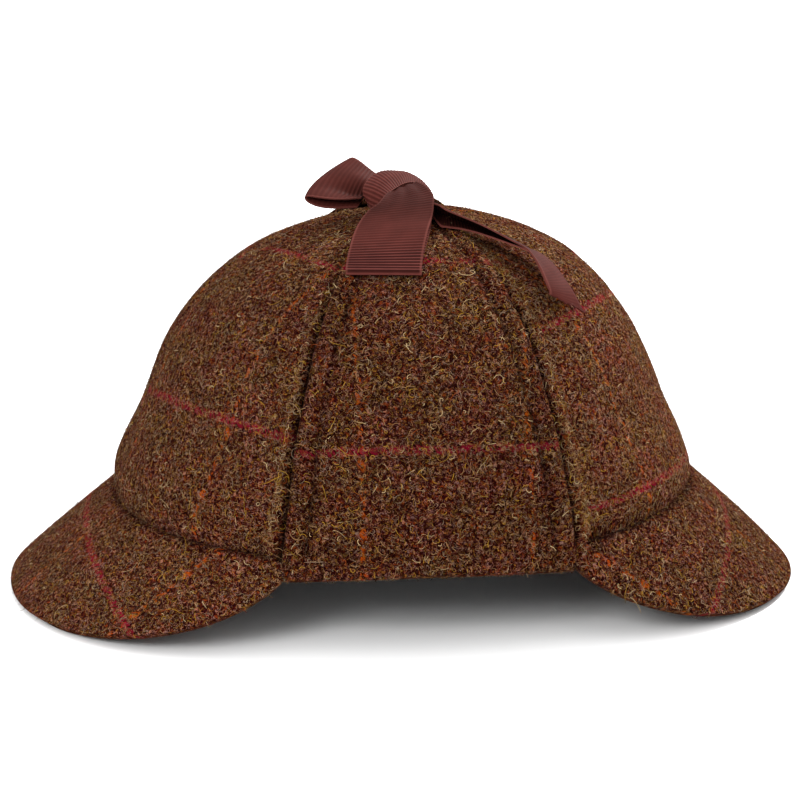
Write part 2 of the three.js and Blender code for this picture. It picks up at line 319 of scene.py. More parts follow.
def yarn_dashes(tree, cloth, turn, width, length):
    """One layer of short dashes: two random numbers for each dash, and the distance from its middle."""
    turned = add_node(tree, "ShaderNodeMapping", vector_type="TEXTURE")
    set_inputs(turned, Rotation=(0, 0, math.radians(turn)), Scale=(width * mm, length * mm, 1))
    cells = add_node(tree, "ShaderNodeTexVoronoi", voronoi_dimensions="2D", feature="F1")
    set_inputs(cells, Scale=1.0, Randomness=0.95)
    split = add_node(tree, "ShaderNodeSeparateColor")
    link_nodes(
        tree,
        (cloth, turned.inputs["Vector"]),
        (turned.outputs["Vector"], cells.inputs["Vector"]),
        (cells.outputs["Color"], split.inputs["Color"]),
    )
    return split.outputs["Red"], split.outputs["Green"], cells.outputs["Distance"]


def cloth_noise(tree, cloth, size, shift=0.0, detail=1.0, distortion=0.0):
    """Soft noise on the cloth, with spots of a size in millimetres."""
    moved = add_node(tree, "ShaderNodeMapping", vector_type="POINT")
    set_inputs(moved, Location=(shift, -0.7 * shift, 0), Scale=(1 / (size * mm), 1 / (size * mm), 1))
    noise = add_node(tree, "ShaderNodeTexNoise", noise_dimensions="2D")
    set_inputs(noise, Scale=1.0, Detail=detail, Distortion=distortion)
    link_nodes(tree, (cloth, moved.inputs["Vector"]), (moved.outputs["Vector"], noise.inputs["Vector"]))
    return noise.outputs["Fac"]


def soft_step(tree, value, low, high):
    step = add_node(tree, "ShaderNodeMapRange", interpolation_type="SMOOTHSTEP")
    set_inputs(step, From_Min=low, From_Max=high)
    tree.links.new(value, step.inputs["Value"])
    return step.outputs["Result"]


def wool_curls(tree, cloth, size, shift, width, keep):
    """Short curly fibres: the level lines of a soft noise, shown only in patches."""
    level = math_node(tree, "SUBTRACT", cloth_noise(tree, cloth, size, shift, 0.6, 0.7), 0.5)
    line = soft_step(tree, math_node(tree, "ABSOLUTE", level), width, 0.5 * width)
    patch = soft_step(tree, cloth_noise(tree, cloth, 1.4 * size, shift + 31.7, 0.5), keep, keep + 0.08)
    return math_node(tree, "MULTIPLY", line, patch)


def colour_steps(tree, value, steps):
    ramp = add_node(tree, "ShaderNodeValToRGB")
    ramp.color_ramp.interpolation = "CONSTANT"
    ramp.color_ramp.elements.remove(ramp.color_ramp.elements[1])
    ramp.color_ramp.elements[0].color = (*steps[0][1], 1)
    for place, colour in steps[1:]:
        ramp.color_ramp.elements.new(place).color = (*colour, 1)
    tree.links.new(value, ramp.inputs["Fac"])
    return ramp.outputs["Color"]


cloth_place = weave_in.outputs["Cloth"]
rise_tint, rise_pick, rise_far = yarn_dashes(weave, cloth_place, 38, 0.42, 1.5)
fall_tint, fall_pick, fall_far = yarn_dashes(weave, cloth_place, -42, 0.38, 1.2)
ground_shades = [
    (0.00, (0.0075, 0.0010, 0.0006)),
    (0.24, (0.0190, 0.0032, 0.0018)),
    (0.48, (0.0130, 0.0018, 0.0018)),
    (0.64, (0.0380, 0.0058, 0.0020)),
    (0.75, (0.0260, 0.0100, 0.0026)),
    (0.86, (0.0190, 0.0020, 0.0034)),
    (0.94, (0.0500, 0.0230, 0.0160)),
]
rising = colour_steps(weave, rise_tint, ground_shades)
falling = colour_steps(weave, fall_tint, ground_shades)
over = math_node(weave, "GREATER_THAN", fall_pick, 0.52)
yarns = mix_colours(weave, over, rising, falling)

crosswise = add_node(weave, "ShaderNodeSeparateXYZ")
weave.links.new(cloth_place, crosswise.inputs["Vector"])
sway = math_node(weave, "MULTIPLY_ADD", cloth_noise(weave, cloth_place, 2.4, 5.0), 0.002, -0.001)


def pane_line(place, pitch, half_width, gap_share):
    """A check yarn: its share near each line of the pane, broken where other yarns cross over it."""
    moved = math_node(weave, "ADD", place, sway)
    near = math_node(weave, "ABSOLUTE", math_node(weave, "WRAP", moved, pitch / 2, -pitch / 2))
    line = soft_step(weave, near, half_width * 1.15, half_width * 0.6)
    shown = math_node(weave, "GREATER_THAN", rise_pick, gap_share)
    return math_node(weave, "MULTIPLY", line, shown)


orange_line = pane_line(crosswise.outputs["X"], 0.054, 0.0010, 0.46)
orange_breaks = soft_step(weave, cloth_noise(weave, cloth_place, 3.6, 9.0), 0.43, 0.58)
orange_line = math_node(weave, "MULTIPLY", orange_line, orange_breaks)
crimson_line = pane_line(crosswise.outputs["Y"], 0.065, 0.0015, 0.25)
crimson_breaks = soft_step(weave, cloth_noise(weave, cloth_place, 5.0, 21.0), 0.26, 0.42)
crimson_line = math_node(weave, "MULTIPLY", crimson_line, crimson_breaks)
orange_yarn = (0.28, 0.055, 0.004, 1)
crimson_yarn = (0.140, 0.005, 0.018, 1)
yarns = mix_colours(weave, math_node(weave, "MULTIPLY", orange_line, 0.9), yarns, orange_yarn)
yarns = mix_colours(weave, math_node(weave, "MULTIPLY", crimson_line, 0.8), yarns, crimson_yarn)

CURLS = [
    # size of the curl, shift, line width, how scarce, colour
    (1.15, 0.0, 0.054, 0.46, (0.250, 0.140, 0.080, 1)),
    (0.95, 12.3, 0.052, 0.50, (0.205, 0.104, 0.018, 1)),
    (1.05, 47.1, 0.050, 0.53, (0.175, 0.120, 0.096, 1)),
    (1.30, 83.9, 0.060, 0.56, (0.138, 0.028, 0.006, 1)),
]
curl_height = None
for size, shift, width, keep, colour in CURLS:
    curls = wool_curls(weave, cloth_place, size, shift, width, keep)
    yarns = mix_colours(weave, math_node(weave, "MULTIPLY", curls, 0.85), yarns, colour)
    curl_height = curls if curl_height is None else math_node(weave, "MAXIMUM", curl_height, curls)

grain = math_node(weave, "MULTIPLY_ADD", cloth_noise(weave, cloth_place, 0.32, 3.0), 1.5, 0.28)
blotch = math_node(weave, "MULTIPLY_ADD", cloth_noise(weave, cloth_place, 9.0, 17.0, 2.0), 0.7, 0.65)
hue = soft_step(weave, cloth_noise(weave, cloth_place, 14.0, 61.0, 2.0), 0.35, 0.65)
hue_shift = mix_colours(weave, hue, (0.98, 0.66, 0.72, 1), (0.88, 0.81, 0.70, 1))
yarns = mix_colours(weave, 1.0, yarns, hue_shift, "MULTIPLY")
lit_yarns = add_node(weave, "ShaderNodeVectorMath", operation="SCALE")
weave.links.new(yarns, lit_yarns.inputs[0])
# Painted shade: the yarn colour is darkened where the painted-shade attribute marks creases, seams, the
# rim and the flap's edges, where shadow falls.
painted_shade_factor = math_node(weave, "MULTIPLY_ADD", weave_in.outputs["Painted shade"], -0.95, 1.0)
shade = math_node(weave, "MULTIPLY", math_node(weave, "MULTIPLY", grain, blotch), painted_shade_factor)
weave.links.new(shade, lit_yarns.inputs["Scale"])
dash_height = math_node(weave, "SUBTRACT", 1.0, math_node(weave, "MINIMUM", rise_far, fall_far))
height = math_node(weave, "MULTIPLY_ADD", curl_height, 0.9, dash_height)
link_nodes(
    weave,
    (lit_yarns.outputs["Vector"], weave_out.inputs["Colour"]),
    (height, weave_out.inputs["Height"]),
)

tweed, tweed_nodes, tweed_shader = new_material("tweed", 0.95, 0.0)
set_inputs(tweed_shader, Sheen_Weight=0.015, Sheen_Roughness=0.5, Sheen_Tint=(0.75, 0.6, 0.42, 1))
tweed_map = add_node(tweed_nodes, "ShaderNodeUVMap", uv_map="cloth")
tweed_painted_shade = add_node(tweed_nodes, "ShaderNodeAttribute", attribute_name="painted_shade")
tweed_weave = add_node(tweed_nodes, "ShaderNodeGroup", node_tree=weave)
tweed_relief = add_node(tweed_nodes, "ShaderNodeBump")
set_inputs(tweed_relief, Strength=0.9, Distance=0.0004)
link_nodes(
    tweed_nodes,
    (tweed_map.outputs["UV"], tweed_weave.inputs["Cloth"]),
    (tweed_painted_shade.outputs["Fac"], tweed_weave.inputs["Painted shade"]),
    (tweed_weave.outputs["Colour"], tweed_shader.inputs["Base Color"]),
    (tweed_weave.outputs["Height"], tweed_relief.inputs["Height"]),
    (tweed_relief.outputs["Normal"], tweed_shader.inputs["Normal"]),
)

wool, wool_nodes, wool_shader = new_material("wool_fibre", 0.8, 0.05)
wool_dye = add_node(wool_nodes, "ShaderNodeVertexColor", layer_name="dye")
wool_nodes.links.new(wool_dye.outputs["Color"], wool_shader.inputs["Base Color"])

FIBRE_DYES = np.array([
    (0.050, 0.012, 0.006),
    (0.085, 0.040, 0.008),
    (0.195, 0.108, 0.048),
    (0.150, 0.030, 0.006),
    (0.155, 0.102, 0.066),
    (0.240, 0.125, 0.014),
    (0.360, 0.255, 0.130),
])
FIBRE_SHARES = np.array([0.26, 0.16, 0.22, 0.10, 0.11, 0.10, 0.05])


def wool_fibres(name, piece, count, seed):
    """Stray fibres lying and standing on a piece that has no wall yet, as thin curled strips."""
    dice = np.random.default_rng(seed)
    mesh = piece.data
    points = np.empty(len(mesh.vertices) * 3)
    mesh.vertices.foreach_get("co", points)
    points = points.reshape(-1, 3) / mm
    quads = np.array([list(face.vertices)[:4] for face in mesh.polygons])
    a, b, c, d = (points[quads[:, k]] for k in range(4))
    # Fewer stray fibres are strewn where the cloth carries painted shade.
    point_painted_shade = np.empty(len(mesh.vertices))
    mesh.attributes["painted_shade"].data.foreach_get("value", point_painted_shade)
    bare = np.clip(1 - point_painted_shade[quads].max(axis=1), 0, 1) ** 2
    area = np.linalg.norm(np.cross(c - a, d - b), axis=1) * bare
    picks = dice.choice(len(quads), size=count, p=area / area.sum())
    s, t = dice.random((2, count, 1))
    a, b, c, d = (corner[picks] for corner in (a, b, c, d))
    start = a * (1 - s) * (1 - t) + b * s * (1 - t) + c * s * t + d * (1 - s) * t
    normal = np.cross(c - a, d - b)
    normal /= np.linalg.norm(normal, axis=1, keepdims=True)
    side = np.cross(normal, dice.normal(size=(count, 3)))
    side /= np.linalg.norm(side, axis=1, keepdims=True)
    other = np.cross(normal, side)
    joints = 7
    long_share = 0.03
    long = dice.random((count, 1)) < long_share
    length = np.where(long, dice.uniform(4, 8, (count, 1)), dice.uniform(1.0, 3.2, (count, 1)))
    curl = dice.normal(0, 0.42, (count, 1)) + dice.normal(0, 0.16, (count, joints))
    heading = np.cumsum(curl, axis=1)
    step = length / (joints - 1)
    lift = dice.gamma(1.6, 0.17, (count, 1))
    share = np.linspace(0, 1, joints)[None]
    free_end = dice.random((count, 1)) < 0.3
    rise = np.where(free_end, share**1.5, np.sin(np.pi * share)) * lift + 0.12
    along = np.zeros((count, joints, 3))
    way = np.cos(heading)[..., None] * side[:, None] + np.sin(heading)[..., None] * other[:, None]
    along[:, 1:] = np.cumsum(way[:, :-1] * step[..., None], axis=1)
    line = start[:, None] + along + rise[..., None] * normal[:, None]
    across = np.cross(normal[:, None], way)
    half = dice.uniform(0.055, 0.12, (count, 1, 1)) * (1 - 0.5 * share[..., None])
    strip = np.stack([line - across * half, line + across * half], 2).reshape(-1, 3)
    base = (np.arange(count) * joints * 2)[:, None] + (np.arange(joints - 1) * 2)[None]
    faces = np.stack([base, base + 1, base + 3, base + 2], -1).reshape(-1)
    fibre_mesh = bpy.data.meshes.new(name)
    fibre_mesh.vertices.add(len(strip))
    fibre_mesh.vertices.foreach_set("co", (strip * mm).ravel())
    fibre_mesh.loops.add(len(faces))
    fibre_mesh.loops.foreach_set("vertex_index", faces)
    fibre_mesh.polygons.add(len(faces) // 4)
    fibre_mesh.polygons.foreach_set("loop_start", np.arange(0, len(faces), 4))
    dye = FIBRE_DYES[dice.choice(len(FIBRE_DYES), size=count, p=FIBRE_SHARES)]
    dye = dye * dice.uniform(0.7, 1.25, (count, 1))
    shade = np.repeat(np.c_[dye, np.ones(count)], joints * 2, axis=0)
    layer = fibre_mesh.color_attributes.new("dye", "FLOAT_COLOR", "POINT")
    layer.data.foreach_set("color", shade.ravel())
    fibre_mesh.update(calc_edges=True)
    fibre_mesh.validate()
    fibres = bpy.data.objects.new(name, fibre_mesh)
    bpy.context.scene.collection.objects.link(fibres)
    dress(fibres, wool, "tweed")
    return fibres


FLAP_WIDTHS = np.array([
    # share of the flap's length from the rim, half width in millimetres
    (0, 48.6),
    (0.3, 43.0),
    (0.55, 35.2),
    (0.78, 24.8),
    (0.93, 15.5),
    (1, 9.0),
])
flap_tip_gap = 16.0
side_levels = np.linspace(crown_level(np.array(rim_side)), 1, 400)
side_line = crown_surface(np.full(400, math.pi / 2), side_levels)
side_walk = np.concatenate([[0], np.cumsum(np.linalg.norm(np.diff(side_line, axis=0), axis=1))])
flap_length = side_walk[-1] - flap_tip_gap


def flap_half_width(share):
    return np.interp(share, FLAP_WIDTHS[:, 0], FLAP_WIDTHS[:, 1])


def past_flap(point):
    """How far points of the crown lie outside the outline of the turned-up flap on their side."""
    along = np.gradient(side_line, axis=0)
    gap_y = np.abs(point[:, 1:2]) - side_line[:, 1]
    gap_z = point[:, 2:] - side_line[:, 2]
    nearest = np.argmin(np.abs(gap_y * along[:, 1] + gap_z * along[:, 2]), axis=1)
    walk = side_walk[nearest]
    return np.maximum(np.abs(point[:, 0]) - flap_half_width(walk / flap_length), walk - flap_length)


flap_corner_x = 47.0
CROWN_PANELS = [
    # name, the check's crossing across and up from the middle of the rim, how much darker the piece is
    # painted, lighter below zero
    ("back_right", -8, 30, 0.0),
    ("right", 12, 20, 0.0),
    ("front_right", -20, 38, 0.0),
    ("front_left", 26, 43.5, 0.0),
    ("left", 0, 43.5, 0.0),
    ("back_left", -24, 11, -0.08),
]
for number, (corner, check_across, check_up, darkening) in enumerate(CROWN_PANELS):
    middle = (number + 0.5) * 2 * panel_half
    middle_levels = np.linspace(crown_level(rim_height(np.array(middle))), 1, 400)
    middle_line = crown_surface(np.full(400, middle), middle_levels)
    climbed = np.concatenate([[0], np.cumsum(np.linalg.norm(np.diff(middle_line, axis=0), axis=1))])

    def panel_shape(u, v):
        u = np.sign(u) * (1 - (1 - np.abs(u)) ** 1.5)
        rough = middle + panel_half * u
        rim = rim_height(rough)
        rim_x = crown_surface(rough, crown_level(rim))[:, 0]
        by_corner = np.exp(-(((np.abs(rim_x) - flap_corner_x) / 4) ** 2))
        low = crown_level(rim - 3.2 * by_corner)
        t = low + (0.9965 - low) * v**0.85
        radius = np.linalg.norm(crown_surface(rough, t)[:, :2], axis=1)
        angle = middle + (panel_half - 0.1 / np.maximum(radius, 0.5)) * u
        point = crown_surface(angle, t)
        to_seam = radius * panel_half * (1 - np.abs(u))
        to_rim = np.interp(t, middle_levels, climbed)
        beside = past_flap(point)
        outside = np.maximum(beside, 0)
        bare = np.clip((outside - 3) / 14, 0, 1)
        below_top = np.clip((126 - point[:, 2]) / 20, 0, 1)

        # The cloth turns in at the rim and the seams, swells beside the flap and dips along its edge.
        fade = np.clip(to_rim / 12, 0, 1) * np.clip(radius / 20, 0, 1)
        tuck = 1.4 * np.exp(-((to_rim / 2.4) ** 2)) * (1 - by_corner)
        groove = seam_groove * np.exp(-((to_seam / 1.7) ** 2)) + 0.45 * np.exp(-((to_seam / 6) ** 2))
        groove = groove * bare
        groove = groove * (0.3 + 0.7 * np.clip(radius / 30, 0, 1))
        swell = 2.6 * np.exp(-outside / 12) * (1 - np.exp(-((outside / 2.6) ** 2)))
        swell = swell * below_top * np.clip(to_rim / 8, 0, 1)
        crevice = 1.2 * np.exp(-((beside / 1.8) ** 2)) * np.clip((to_rim - 3) / 8, 0, 1)
        hug = 1.2 * by_corner * np.exp(-((to_rim / 6) ** 2))
        offset = soft_unevenness(point) * fade - groove - tuck + swell - crevice + hug
        point = point + offset[:, None] * crown_normal(angle, t)

        # Painted shade: the cloth is darkened beside and under the flap's edge, along the seams and at the
        # rim, where shadow falls in the creases.
        by_flap = np.where(beside < 0, 1, np.exp(-((beside / 2.1) ** 2))) * (0.35 + 0.65 * below_top)
        by_seam = 0.4 * np.exp(-((to_seam / 1.0) ** 2)) * bare
        by_rim = 0.35 * np.exp(-((to_rim / 1.3) ** 2))
        painted_shade = darkening + (1 - darkening) * np.maximum.reduce([by_flap, by_seam, by_rim])

        middle_radius = np.linalg.norm(crown_surface(np.full_like(t, middle), t)[:, :2], axis=1)
        across = middle_radius * panel_half * u
        lean = crown_normal(np.full_like(t, middle), t)[:, 2]
        up = to_rim + across**2 * lean / (2 * np.maximum(middle_radius, 1))
        return point, np.stack([across - check_across, up - check_up], -1), painted_shade

    panel = cloth_grid(f"panel_{corner}", 64, 92, panel_shape)
    fibres = wool_fibres(f"wool_{corner}", panel, 4000, 11 + number)
    thicken(panel, tweed_wall)
    dress(panel, tweed, "tweed", f"crown_panel_{corner}")


# Lining.
# A dome of smooth black cloth, hung inside the crown and caught to it along the rim.
# Its lower edge comes further down behind the turned-up flaps.
lining_wall = 0.8
lining_inset = 4.0
lining_above_rim = 2.5
lining_lower_by_flap = 6.0


def lining_shape(u, v):
    angle = np.pi * u
    rim = rim_height(angle)
    from_side = np.abs(crown_surface(angle, crown_level(rim))[:, 0])
    lowered = lining_lower_by_flap * np.clip((62 - from_side) / 8, 0, 1)
    low = crown_level(rim + lining_above_rim - lowered)
    t = low + (0.985 - low) * v**0.85
    point = crown_surface(angle, t) - lining_inset * crown_normal(angle, t)
    return point, np.stack([95 * angle, 150 * v], -1), 0.0


def close_seam(gap):
    """Joins the points of the active piece that lie within a gap of each other, in millimetres."""
    bpy.ops.object.mode_set(mode="EDIT")
    bpy.ops.mesh.select_all(action="SELECT")
    bpy.ops.mesh.remove_doubles(threshold=gap * mm)
    bpy.ops.object.mode_set(mode="OBJECT")


lining = cloth_grid("lining_dome", 120, 40, lining_shape)
close_seam(0.2)
thicken(lining, lining_wall)
satin, satin_nodes, satin_shader = new_material("black_lining", 0.5, 0.5)
set_inputs(satin_shader, Sheen_Weight=0.1)
satin_map = add_node(satin_nodes, "ShaderNodeUVMap", uv_map="cloth")
satin_twill = add_node(satin_nodes, "ShaderNodeTexWave", wave_type="BANDS", bands_direction="DIAGONAL")
set_inputs(satin_twill, Scale=700, Distortion=0.6)
satin_dark = (0.010, 0.010, 0.011, 1)
satin_light = (0.022, 0.022, 0.024, 1)
satin_colour = mix_colours(satin_nodes, satin_twill.outputs["Fac"], satin_dark, satin_light)
satin_relief = add_node(satin_nodes, "ShaderNodeBump")
set_inputs(satin_relief, Strength=0.25, Distance=0.0002)
link_nodes(
    satin_nodes,
    (satin_map.outputs["UV"], satin_twill.inputs["Vector"]),
    (satin_colour, satin_shader.inputs["Base Color"]),
    (satin_twill.outputs["Fac"], satin_relief.inputs["Height"]),
    (satin_relief.outputs["Normal"], satin_shader.inputs["Normal"]),
)
dress(lining, satin, "lining", "lining")


# Peaks.
# A stiff crescent, tweed on both sides of a stiffener, sewn under the rim at the front and at the back.
# Its edge is turned and rounded, and its underside is pressed flat where the hat stands on it.
def turn_faces(piece, way):
    """Turns a sheet's faces over if most of its area looks away from a way."""
    looking = sum(face.normal.dot(way) * face.area for face in piece.data.polygons)
    if looking < 0:
        piece.data.flip_normals()


PEAKS = [
    # name, turn, length, fall in the middle and at the ends, the check's place across and down, how much
    # darker the piece is painted, lighter below zero
    ("front_peak", math.pi, 49.0, 40.2, 58.0, 80, 140, -0.18),
    ("back_peak", 0.0, 52.0, 43.0, 58.0, -91, 142, 0.20),
]
peak_wall = 3.2
peak_end_x = 47.6
peak_end_length = 8.0
peak_tuck = 4.2
peak_camber = 0.8
pattern_radius = 128
for name, turn, middle_length, middle_fall, end_fall, check_across, check_down, darkening in PEAKS:
    trial = np.linspace(0, math.pi / 2, 2000)
    trial_x = np.cos(turn) * crown_surface(turn + trial, crown_level(rim_height(turn + trial)))[:, 0]
    end_angle = np.interp(-peak_end_x, -trial_x, trial)

    def peak_shape(u, v):
        u = np.sign(u) * np.abs(u) ** 0.9
        angle = turn + u * end_angle
        level = crown_level(rim_height(angle))
        normal = crown_normal(angle, level)
        outward = normal * np.array([1, 1, 0])
        outward /= np.linalg.norm(outward, axis=1, keepdims=True)
        root = crown_surface(angle, level)
        root[:, 2] -= 0.12 + 3.7 * normal[:, 2]
        taper = np.clip(1 - np.abs(u) ** 2.5, 0, 1) ** 0.89
        length = peak_end_length + (middle_length - peak_end_length) * taper
        fall = np.radians(middle_fall + (end_fall - middle_fall) * u**2)
        slide = (length + peak_tuck) * v - peak_tuck
        share = np.clip(slide / length, 0, 1)
        camber = peak_camber * np.sin(np.pi * share) * length / middle_length
        ripple = 0.35 * np.sin(0.12 * np.degrees(u) + 3 * share) * share
        bulge = camber + ripple
        run = np.where(slide < 0, slide, share * length * np.cos(fall) + bulge * np.sin(fall))
        drop = np.where(slide < 0, 0, share * length * np.sin(fall) - bulge * np.cos(fall) * share)
        point = root + outward * run[:, None]
        point[:, 2] -= np.maximum(drop, 0)
        spread = u * end_angle * math.cos(math.radians(middle_fall))
        reach = pattern_radius + slide
        cloth = np.stack([reach * np.sin(spread) - check_across, reach * np.cos(spread) - check_down], -1)
        # Painted shade darkens the cloth in the crease under the rim.
        by_rim = 0.45 * np.exp(-((np.maximum(slide, 0) / 1.4) ** 2))
        return point, cloth, darkening + (1 - darkening) * by_rim

    peak = cloth_grid(f"{name}_cloth", 96, 40, peak_shape)
    turn_faces(peak, (0, 0, 1))
    wool_fibres(f"wool_{name}", peak, 3800, 31 + len(name))

    def outward_way(cloth):
        spoke = cloth + (check_across, check_down)
        return spoke / np.linalg.norm(spoke, axis=1, keepdims=True)

    thicken(peak, peak_wall, 1.35, 4, outward_way)
    for vertex in peak.data.vertices:
        vertex.co.z = max(vertex.co.z, 0.0)
    dress(peak, tweed, "tweed", name)


# Ear flaps.
# A tongue of doubled tweed, hooked under the rim and folded up over the side of the crown to the top.
# A row of stitches holds its layers a little way inside its edge.
flap_face = 3.7
flap_wall = 0.9
flap_lip = 8.0
fold_radius = 4.6
edge_roll = 2.6
stitch_inset = 7.5
stitch_depth = 1.2
stitch_pitch = 3.4
stitch_half = 1.15


def flap_foot(side, t, x):
    """The crown's angle and level straight in from the flap's middle line, x to the side of level t."""
    right_angle = np.full_like(t, side * math.pi / 2)
    middle = crown_surface(right_angle, t)
    inward = -crown_normal(right_angle, t)
    low = np.zeros_like(t)
    high = np.full_like(t, 40.0)
    for _ in range(40):
        depth = (low + high) / 2
        y = middle[:, 1] + depth * inward[:, 1]
        z = middle[:, 2] + depth * inward[:, 2]
        level = crown_level(z)
        section = smooth_rows(CROWN, level)
        a = np.maximum(section[:, 1], 1e-6)
        b = np.maximum(section[:, 2], 1e-6)
        aside = x - section[:, 3]
        reach = (np.abs(aside) / a) ** oval_power + (np.abs(y) / b) ** oval_power - 1
        out = (reach > 0) | (z > CROWN[-1, 0])
        low = np.where(out, depth, low)
        high = np.where(out, high, depth)
    return np.arctan2(y / b, aside / a), level


thread, thread_nodes, thread_shader = new_material("brown_thread", 0.8, 0.05)
thread_place = add_node(thread_nodes, "ShaderNodeTexCoord")
thread_twist = add_node(thread_nodes, "ShaderNodeTexNoise")
set_inputs(thread_twist, Scale=3000)
thread_dark = (0.010, 0.004, 0.002, 1)
thread_light = (0.045, 0.020, 0.010, 1)
thread_colour = mix_colours(thread_nodes, thread_twist.outputs["Fac"], thread_dark, thread_light)
link_nodes(
    thread_nodes,
    (thread_place.outputs["Object"], thread_twist.inputs["Vector"]),
    (thread_colour, thread_shader.inputs["Base Color"]),
)

for hand, side, check_across, check_up in (("left", -1, -22, 37.7), ("right", 1, 10, 30)):
    def flap_place(u, along, height):
        """A point along the flap from the rim, at a height above the crown, and its place across."""
        share = np.clip(along / flap_length, 0, 1)
        half_width = flap_half_width(share)
        half_width = half_width * np.where(share > 0.985, 1 - 0.35 * ((share - 0.985) / 0.015) ** 2, 1)
        t = np.interp(share * flap_length, side_walk, side_levels)
        angle, level = flap_foot(side, t, u * half_width)
        return crown_surface(angle, level) + height[:, None] * crown_normal(angle, level), u * half_width

    def flap_shape(u, v):
        u = np.sign(u) * (1 - (1 - np.abs(u)) ** 1.7)
        slide = v * (flap_lip + flap_length) - flap_lip
        along = np.maximum(slide, 0)
        share = along / flap_length
        to_edge = np.minimum(flap_half_width(share) * (1 - np.abs(u)), flap_length - along)
        rolled = np.clip(1 - to_edge / edge_roll, 0, 1)
        pillow = edge_roll * (1 - np.sqrt(1 - rolled**2))
        pucker = 0.85 + 0.25 * np.sin(along * 1.6)
        groove = 1.3 * pucker * np.exp(-(((to_edge - stitch_inset) / 1.2) ** 2))
        groove = groove * np.clip(along / 6, 0, 1)
        loose = 0.5 * np.sin(along * 0.045 + 2.2 * u) * np.clip(along / 30, 0, 1)
        loose = loose * np.clip(1 - share, 0, 1) * 2
        height = flap_face - pillow - groove + np.clip(loose, -0.3, 1.2)
        point, x = flap_place(u, along, height)

        # Below the rim the flap folds inwards, and its corners hang a little lower.
        under = np.clip(-slide / flap_lip, 0, 1)
        bend = np.minimum(under * math.pi / 2 * 1.6, math.pi / 2)
        drop = np.where(slide < 0, fold_radius * np.sin(bend), 0)
        tuck_in = fold_radius * (1 - np.cos(bend)) + 3.2 * np.clip(under - 0.62, 0, 1)
        tuck_in = np.where(slide < 0, tuck_in, 0)
        point[:, 2] -= drop + 2.4 * u**2 * np.clip(1 - along / 14, 0, 1)
        outward = np.stack([0.12 * u, np.full_like(u, side), np.zeros_like(u)], -1)
        point -= outward * tuck_in[:, None]
        cloth = np.stack([x * side * -1 - check_across, slide - check_up], -1)
        # Painted shade: the flap is darker towards the rim, where less light reaches it, and in its stitch
        # groove and on its rolled edge.
        darkening = 0.24 - 0.20 * share
        painted_shade = darkening + (1 - darkening) * np.maximum(0.4 * groove, 0.9 * rolled**3 * np.clip(along / 4, 0, 1))
        return point, cloth, np.clip(painted_shade, 0, 1)

    flap = cloth_grid(f"flap_{hand}", 84, 120, flap_shape)
    turn_faces(flap, (0, side, 0))
    fibres = wool_fibres(f"wool_flap_{hand}", flap, 4000, 51 + side)
    thicken(flap, flap_wall, 0.25)
    dress(flap, tweed, "tweed", f"ear_flap_{hand}")

    stitch_points = []
    for edge in (-1, 1):
        for along in np.arange(6.0, flap_length - 9, stitch_pitch):
            for offset in (-stitch_half, stitch_half):
                half_width = flap_half_width((along + offset) / flap_length)
                u = edge * (half_width - stitch_inset) / half_width
                place = np.array([[u], [along + offset], [flap_face - stitch_depth]])
                stitch_points.append(flap_place(*place)[0][0])
    stitch_points = np.array(stitch_points).reshape(-1, 2, 3)
    bpy.ops.object.select_all(action="DESELECT")
    bpy.ops.mesh.primitive_uv_sphere_add(segments=6, ring_count=4, radius=1)
    stitches = bpy.context.active_object
    stitches.name = f"stitches_{hand}"
    ball = np.empty(len(stitches.data.vertices) * 3)
    stitches.data.vertices.foreach_get("co", ball)
    ball = ball.reshape(-1, 3)
    ball_faces = [list(face.vertices) for face in stitches.data.polygons]
    all_points = []
    all_faces = []
    for start, end in stitch_points:
        way = end - start
        reach = np.linalg.norm(way)
        way = way / reach
        out = np.array([0, side * 0.7, 0.7])
        cross = np.cross(way, out)
        cross /= np.linalg.norm(cross)
        out = np.cross(cross, way)
        first = len(all_points) * len(ball)
        body = (start + end) / 2 + ball[:, :1] * way * reach * 0.55
        body = body + ball[:, 1:2] * cross * 0.22 + ball[:, 2:] * out * 0.2
        all_points.append(body)
        all_faces += [[first + k for k in face] for face in ball_faces]
    stitches.data.clear_geometry()
    stitches.data.from_pydata((np.concatenate(all_points) * mm).tolist(), [], all_faces)
    stitches.data.update()
    bpy.context.view_layer.objects.active = stitches
    bpy.ops.object.shade_smooth()
    dress(stitches, thread, "tweed")


# Tie.
# A ribbed maroon ribbon, one inch wide, sewn to the tips of the flaps and tied in a bow on top of the hat.
# One loop stands out to the front, one falls over the left flap, and the loose end lies towards the back.
rib_pitch = 1.35
ribbon_half = 12.5
ribbon_wall = 0.5
ribbon_cloth, ribbon_nodes, ribbon_shader = new_material("maroon_grosgrain", 0.55, 0.03)
set_inputs(ribbon_shader, Specular_Tint=(1, 0.75, 0.6, 1))
ribbon_map = add_node(ribbon_nodes, "ShaderNodeUVMap", uv_map="cloth")
ribbon_painted_shade = add_node(ribbon_nodes, "ShaderNodeAttribute", attribute_name="painted_shade").outputs["Fac"]
ribbon_split = add_node(ribbon_nodes, "ShaderNodeSeparateXYZ")
ribbon_fade = add_node(ribbon_nodes, "ShaderNodeTexNoise", noise_dimensions="2D")
set_inputs(ribbon_fade, Scale=160)
ribbon_yarn = add_node(ribbon_nodes, "ShaderNodeTexNoise", noise_dimensions="2D")
set_inputs(ribbon_yarn, Scale=2500)
for node in (ribbon_split, ribbon_fade, ribbon_yarn):
    ribbon_nodes.links.new(ribbon_map.outputs["UV"], node.inputs["Vector"])
rib_turn = math_node(ribbon_nodes, "MULTIPLY", ribbon_split.outputs["Y"], 2 * math.pi / (rib_pitch * mm))
rib_wave = math_node(ribbon_nodes, "MULTIPLY_ADD", math_node(ribbon_nodes, "SINE", rib_turn), 0.5, 0.5)
rib_wave = math_node(ribbon_nodes, "POWER", rib_wave, 1.6)
rib_shade_share = math_node(ribbon_nodes, "MULTIPLY", ribbon_painted_shade, ribbon_painted_shade)
